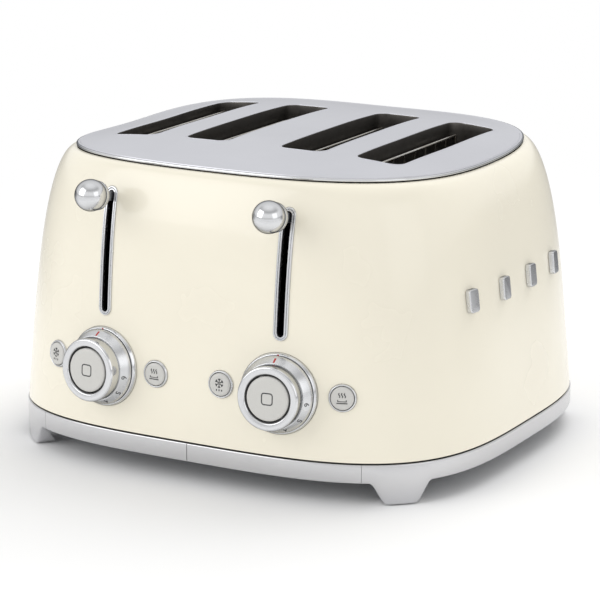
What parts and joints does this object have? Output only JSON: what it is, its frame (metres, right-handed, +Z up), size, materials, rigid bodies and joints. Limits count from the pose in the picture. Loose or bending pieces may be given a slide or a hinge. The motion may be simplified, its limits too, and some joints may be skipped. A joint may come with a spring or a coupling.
{
  "type": "pop-up toaster",
  "caption": "Rounded retro pop-up toaster with domed metal top, long bread slots, front levers, browning dials, push buttons and pull-out crumb trays on a footed metal base.",
  "frame": {"origin": "middle of the bottom of the overall box, on the surface the rubber feet stand on", "axes": "+X to the right as seen from the controls, +Y to the back, +Z up"},
  "size_m": [0.3292, 0.3082, 0.2018],
  "materials": {
    "cream_enamel": "gloss",
    "satin_steel": "satin",
    "polished_chrome": "polished",
    "cast_aluminium": "satin",
    "sheet_steel": "plain",
    "slot_steel": "heat darkened",
    "mica": "matte",
    "nichrome": "drawn",
    "seal_rubber": "matte",
    "board_laminate": "matte",
    "black_plastic": "matte",
    "button_plastic": "satin",
    "copper_wound": "varnished"
  },
  "bodies": {
    "housing": {"body_shell": "cream_enamel", "top_plate": "satin_steel", "plate_seal": "seal_rubber", "slot_chutes": "slot_steel", "base_band": "cast_aluminium", "base_seal": "seal_rubber", "bottom_plate": "sheet_steel", "foot_pads": "seal_rubber", "base_screws": "sheet_steel", "cord_hooks": "black_plastic", "cord_gland": "seal_rubber", "terminal_block": "button_plastic", "side_tiles": "polished_chrome", "front_bulkhead": "sheet_steel", "rear_bulkhead": "sheet_steel", "side_shield_left": "sheet_steel", "side_shield_right": "sheet_steel", "heater_board_1": "mica", "heater_board_2": "mica", "heater_board_3": "mica", "heater_board_4": "mica", "heater_board_5": "mica", "heater_board_6": "mica", "heater_ribbons": "nichrome", "guide_rod_left": "sheet_steel", "magnet_left": "copper_wound", "control_board_left": "board_laminate", "dial_switch_left": "black_plastic", "lever_trim_left": "polished_chrome", "dial_ring_left": "polished_chrome", "lift_spring_left": "sheet_steel", "guide_rod_right": "sheet_steel", "magnet_right": "copper_wound", "control_board_right": "board_laminate", "dial_switch_right": "black_plastic", "lever_trim_right": "polished_chrome", "dial_ring_right": "polished_chrome", "lift_spring_right": "sheet_steel", "button_bezels": "polished_chrome"},
    "lift_left": {"carriage_left": "sheet_steel", "bread_lift_left": "sheet_steel", "lever_ball_left": "polished_chrome"},
    "dial_left": {"dial_knob_left": "polished_chrome"},
    "stop_left": {"stop_button_left": "button_plastic"},
    "defrost_left": {"defrost_button_left": "button_plastic"},
    "reheat_left": {"reheat_button_left": "button_plastic"},
    "tray_left": {"crumb_tray_left": "cast_aluminium"},
    "guide_left_a": {"bread_guide_left_a": "sheet_steel"},
    "guide_left_b": {"bread_guide_left_b": "sheet_steel"},
    "lift_right": {"carriage_right": "sheet_steel", "bread_lift_right": "sheet_steel", "lever_ball_right": "polished_chrome"},
    "dial_right": {"dial_knob_right": "polished_chrome"},
    "stop_right": {"stop_button_right": "button_plastic"},
    "defrost_right": {"defrost_button_right": "button_plastic"},
    "reheat_right": {"reheat_button_right": "button_plastic"},
    "tray_right": {"crumb_tray_right": "cast_aluminium"},
    "guide_right_a": {"bread_guide_right_a": "sheet_steel"},
    "guide_right_b": {"bread_guide_right_b": "sheet_steel"}
  },
  "joints": [
    {"name": "lever_left", "type": "slide", "parent": "housing", "child": "lift_left", "axis": [0, 0, -1], "range_m": [0, 0.068], "stiffness_N_per_m": 60, "springref_m": -0.15, "deforming": ["lift_spring_left"]},
    {"name": "guide_left_a_slide", "type": "slide", "parent": "housing", "child": "guide_left_a", "axis": [1, 0, 0], "range_m": [0, 0.0062]},
    {"name": "guide_left_b_slide", "type": "slide", "parent": "housing", "child": "guide_left_b", "axis": [1, 0, 0], "range_m": [-0.0062, 0]},
    {"name": "dial_left_turn", "type": "hinge", "parent": "housing", "child": "dial_left", "pos_m": [-0.06295, -0.13285, 0.0661], "axis": [0.0972, 0.9933, -0.0622], "range_deg": [0, 240]},
    {"name": "stop_left_press", "type": "slide", "parent": "housing", "child": "stop_left", "axis": [0.0972, 0.9933, -0.0622], "range_m": [0, 0.0014], "stiffness_N_per_m": 600, "springref_m": -0.003},
    {"name": "defrost_left_press", "type": "slide", "parent": "housing", "child": "defrost_left", "axis": [0.3364, 0.9381, -0.082], "range_m": [0, 0.0012], "stiffness_N_per_m": 500, "springref_m": -0.003},
    {"name": "reheat_left_press", "type": "slide", "parent": "housing", "child": "reheat_left", "axis": [0.0091, 0.9983, -0.0568], "range_m": [0, 0.0012], "stiffness_N_per_m": 500, "springref_m": -0.003},
    {"name": "tray_left_pull", "type": "slide", "parent": "housing", "child": "tray_left", "axis": [0, -1, 0], "range_m": [0, 0.235]},
    {"name": "lever_right", "type": "slide", "parent": "housing", "child": "lift_right", "axis": [0, 0, -1], "range_m": [0, 0.068], "stiffness_N_per_m": 60, "springref_m": -0.15, "deforming": ["lift_spring_right"]},
    {"name": "guide_right_a_slide", "type": "slide", "parent": "housing", "child": "guide_right_a", "axis": [1, 0, 0], "range_m": [0, 0.0062]},
    {"name": "guide_right_b_slide", "type": "slide", "parent": "housing", "child": "guide_right_b", "axis": [1, 0, 0], "range_m": [-0.0062, 0]},
    {"name": "dial_right_turn", "type": "hinge", "parent": "housing", "child": "dial_right", "pos_m": [0.06295, -0.13285, 0.0661], "axis": [-0.0972, 0.9933, -0.0622], "range_deg": [0, 240]},
    {"name": "stop_right_press", "type": "slide", "parent": "housing", "child": "stop_right", "axis": [-0.0972, 0.9933, -0.0622], "range_m": [0, 0.0014], "stiffness_N_per_m": 600, "springref_m": -0.003},
    {"name": "defrost_right_press", "type": "slide", "parent": "housing", "child": "defrost_right", "axis": [-0.0091, 0.9983, -0.0568], "range_m": [0, 0.0012], "stiffness_N_per_m": 500, "springref_m": -0.003},
    {"name": "reheat_right_press", "type": "slide", "parent": "housing", "child": "reheat_right", "axis": [-0.3364, 0.9381, -0.082], "range_m": [0, 0.0012], "stiffness_N_per_m": 500, "springref_m": -0.003},
    {"name": "tray_right_pull", "type": "slide", "parent": "housing", "child": "tray_right", "axis": [0, -1, 0], "range_m": [0, 0.235]}
  ],
  "couplings": [
    {"joint": "guide_left_a_slide", "follows": "lever_left", "ratio": 0.088235},
    {"joint": "guide_left_b_slide", "follows": "lever_left", "ratio": -0.088235},
    {"joint": "guide_right_a_slide", "follows": "lever_right", "ratio": 0.088235},
    {"joint": "guide_right_b_slide", "follows": "lever_right", "ratio": -0.088235}
  ]
}
